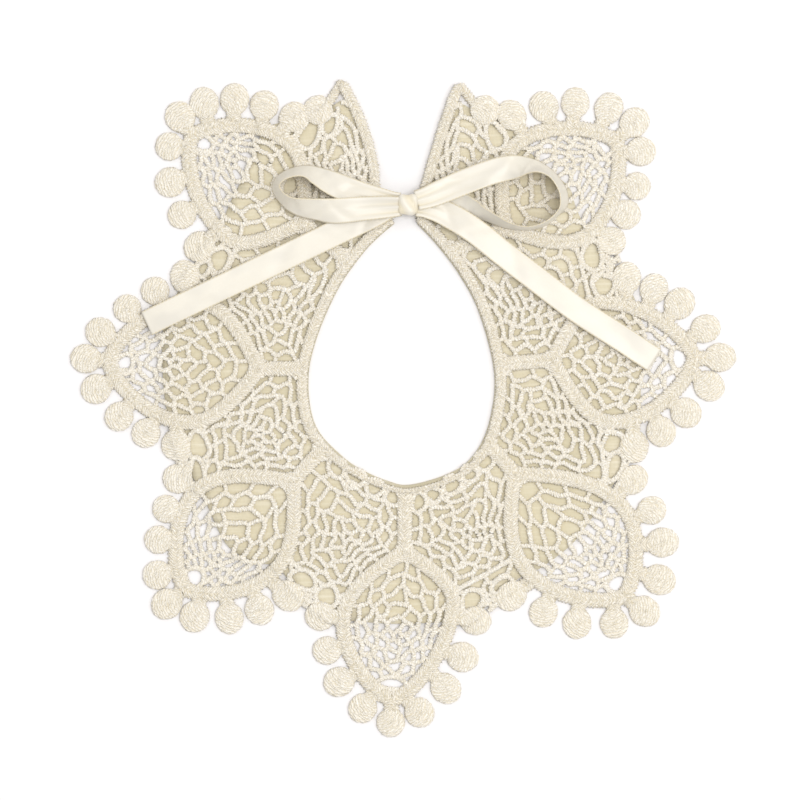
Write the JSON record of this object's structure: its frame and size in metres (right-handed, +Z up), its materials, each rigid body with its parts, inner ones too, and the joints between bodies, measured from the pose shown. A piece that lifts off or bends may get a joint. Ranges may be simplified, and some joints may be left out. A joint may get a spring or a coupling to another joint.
{
  "type": "lace baby bib",
  "caption": "Guipure lace collar bib on a cotton lining, with scalloped petals, an egg-shaped neck opening and a satin ribbon bow at the back.",
  "frame": {"origin": "middle of the whole piece in plan, at the surface it lies on", "axes": "+X to the right of the picture, +Y towards the back opening, +Z up off the surface"},
  "size_m": [0.2662, 0.264, 0.0144],
  "materials": {
    "lining_cotton": "plain-woven cotton, matt",
    "lace_cotton": "twisted cotton stitches, matt",
    "ribbon_satin": "satin"
  },
  "bodies": {
    "root": {"lining": "lining_cotton", "lace": "lace_cotton", "ribbon_left_tail": "ribbon_satin", "ribbon_left_loop": "ribbon_satin", "ribbon_knot": "ribbon_satin", "ribbon_right_loop": "ribbon_satin", "ribbon_right_tail": "ribbon_satin"}
  },
  "joints": []
}
